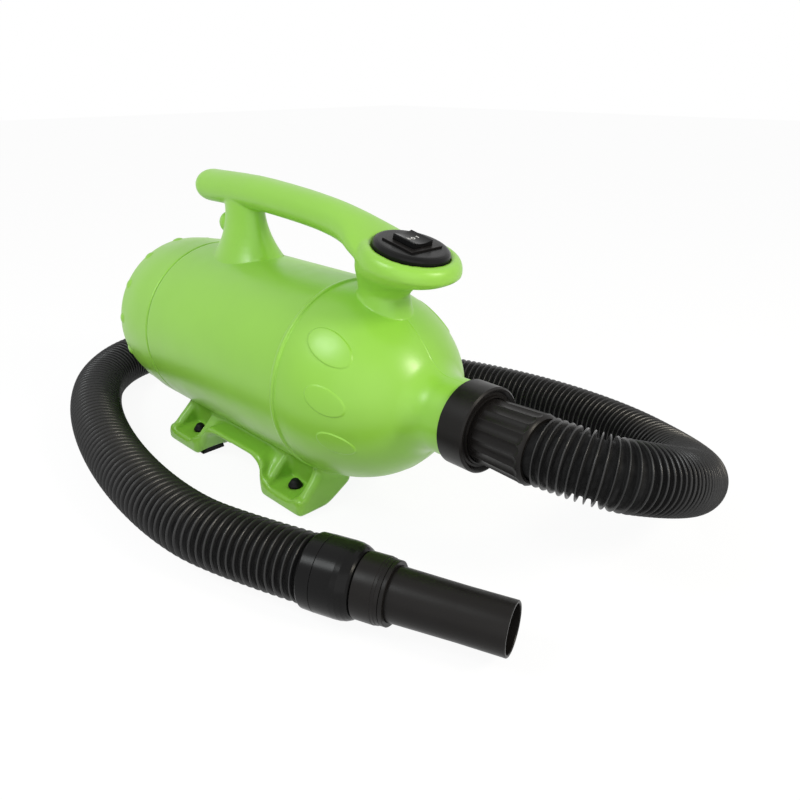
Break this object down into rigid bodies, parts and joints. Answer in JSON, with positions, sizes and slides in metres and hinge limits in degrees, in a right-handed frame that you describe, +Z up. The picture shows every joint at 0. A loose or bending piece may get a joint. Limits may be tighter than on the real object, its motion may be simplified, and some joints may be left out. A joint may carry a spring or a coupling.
{
  "type": "pet dryer",
  "caption": "Portable pet dryer: round blower body with a carry handle, four feet, a ribbed stretch hose and a tube nozzle handset.",
  "frame": {"origin": "centre of the four feet's stance, on the surface the dryer stands on, in the mid-plane", "axes": "+X along the barrel towards the air outlet, +Z up, +Y to the far side of the picture"},
  "size_m": [0.6742, 0.4201, 0.2508],
  "materials": {
    "housing_green": "satin",
    "black_plastic": "satin",
    "gloss_black": "gloss",
    "hose_black": "satin",
    "black_rubber": "matt",
    "foam_grey": "open foam",
    "steel": "turned",
    "zinc_steel": "plated",
    "laminations": "varnished stack",
    "copper": "bare and enamelled copper",
    "aluminium": "pressed",
    "cream_moulding": "moulded",
    "carbon": "carbon block"
  },
  "bodies": {
    "dryer": {"housing": "housing_green", "cord_gland": "black_rubber", "outlet_ring": "black_plastic", "outlet_seal": "black_rubber", "hose": "hose_black", "hose_end_collar": "black_plastic", "switch_bezel": "gloss_black", "switch_body": "black_plastic", "switch_terminals": "copper", "motor_bulkhead": "cream_moulding", "bulkhead_screws": "zinc_steel", "mount_rear": "black_rubber", "fan_shell": "steel", "diffuser": "aluminium", "motor_bracket": "steel", "bearing_rear": "steel", "stator_core": "laminations", "field_coils": "copper", "front_bracket": "cream_moulding", "carbon_brushes": "carbon", "bearing_front": "steel", "mount_front": "black_rubber", "front_spider": "black_plastic", "foam_liner": "foam_grey", "motor_screws": "zinc_steel", "foot_pad_rear_right": "black_rubber", "foot_pad_rear_left": "black_rubber", "foot_pad_front_right": "black_rubber", "foot_pad_front_left": "black_rubber"},
    "rear_cover": {"rear_cover": "housing_green", "filter_frame": "black_plastic", "intake_filter": "foam_grey"},
    "rotor": {"motor_shaft": "steel", "armature_core": "laminations", "armature_windings": "copper", "commutator": "copper", "impeller_rear": "aluminium", "impeller_front": "aluminium", "impeller_nut": "zinc_steel"},
    "rocker": {"rocker": "gloss_black"},
    "hose_cuff": {"hose_cuff": "black_plastic"},
    "handset": {"swivel_cuff": "gloss_black", "handset_adapter": "black_plastic"},
    "relief_ring": {"relief_ring": "black_plastic"},
    "nozzle": {"nozzle_tube": "black_plastic"}
  },
  "joints": [
    {"name": "rear_cover_twist", "type": "hinge", "parent": "dryer", "child": "rear_cover", "pos_m": [-0.099, 0, 0.103], "axis": [1, 0, 0], "range_deg": [0, 20]},
    {"name": "rotor_spin", "type": "hinge", "parent": "dryer", "child": "rotor", "pos_m": [0, 0, 0.103], "axis": [1, 0, 0], "continuous": true},
    {"name": "rocker_tilt", "type": "hinge", "parent": "dryer", "child": "rocker", "pos_m": [0.16196, 0, 0.221], "axis": [0.9781, 0, -0.2079], "range_deg": [-10, 10]},
    {"name": "hose_cuff_turn", "type": "hinge", "parent": "dryer", "child": "hose_cuff", "pos_m": [0.23, 0, 0.103], "axis": [1, 0, 0], "range_deg": [0, 30]},
    {"name": "handset_swivel", "type": "hinge", "parent": "dryer", "child": "handset", "pos_m": [0.2048, -0.11675, 0.0262], "axis": [0.9369, 0.3496, 0], "continuous": true},
    {"name": "relief_ring_turn", "type": "hinge", "parent": "handset", "child": "relief_ring", "pos_m": [0.2048, -0.11675, 0.0262], "axis": [0.9369, 0.3496, 0], "range_deg": [0, 60]},
    {"name": "nozzle_slide", "type": "slide", "parent": "handset", "child": "nozzle", "axis": [0.9369, 0.3496, 0], "range_m": [0, 0.02]}
  ]
}
